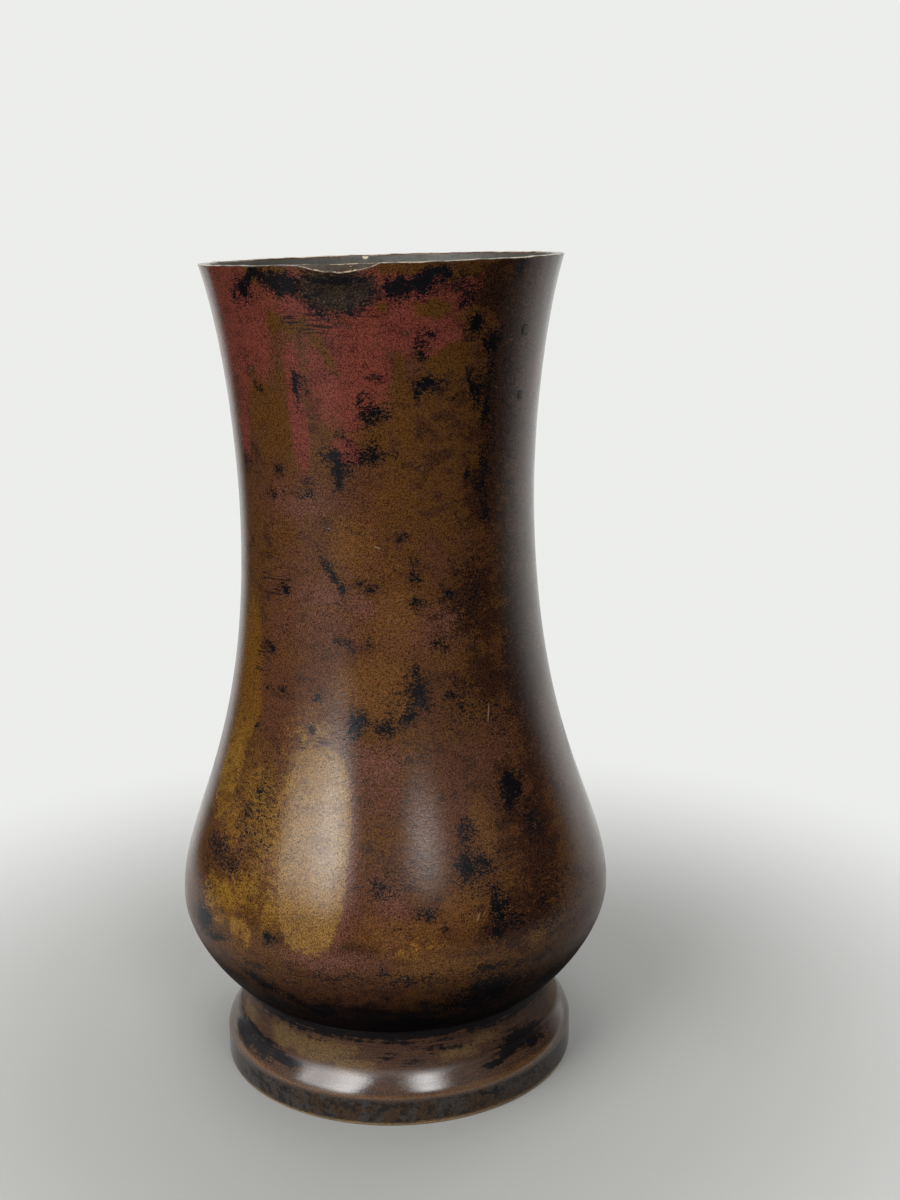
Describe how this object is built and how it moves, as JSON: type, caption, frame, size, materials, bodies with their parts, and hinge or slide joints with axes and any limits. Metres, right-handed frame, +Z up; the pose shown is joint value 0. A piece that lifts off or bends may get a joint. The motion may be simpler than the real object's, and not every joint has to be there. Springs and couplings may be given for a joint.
{
  "type": "bronze flower vase",
  "caption": "Hollow cast bronze flower vase: flared neck over a low round belly on a moulded ring foot, with mottled brown, red and black patina. Holds cut stems in water.",
  "frame": {"origin": "centre of the foot's standing ring, on the surface that the vase stands on", "axes": "+Z up along the vase's axis, -Y towards the front with the knocked rim, +X to the right as seen from the front"},
  "size_m": [0.129, 0.129, 0.24],
  "materials": {
    "body_bronze": "satin, mottled brown, red, ochre and black patina",
    "foot_bronze": "satin, dark brown patina worn to bright metal on its edges",
    "plate_bronze": "dull dark brown patina",
    "solder": "dull grey solder",
    "plug_bronze": "dull black brown patina"
  },
  "bodies": {
    "root": {"body_shell": "body_bronze", "foot_ring": "foot_bronze", "base_plate": "plate_bronze", "foot_solder": "solder", "base_solder": "solder", "core_plug_upper": "plug_bronze", "core_plug_lower": "plug_bronze"}
  },
  "joints": []
}
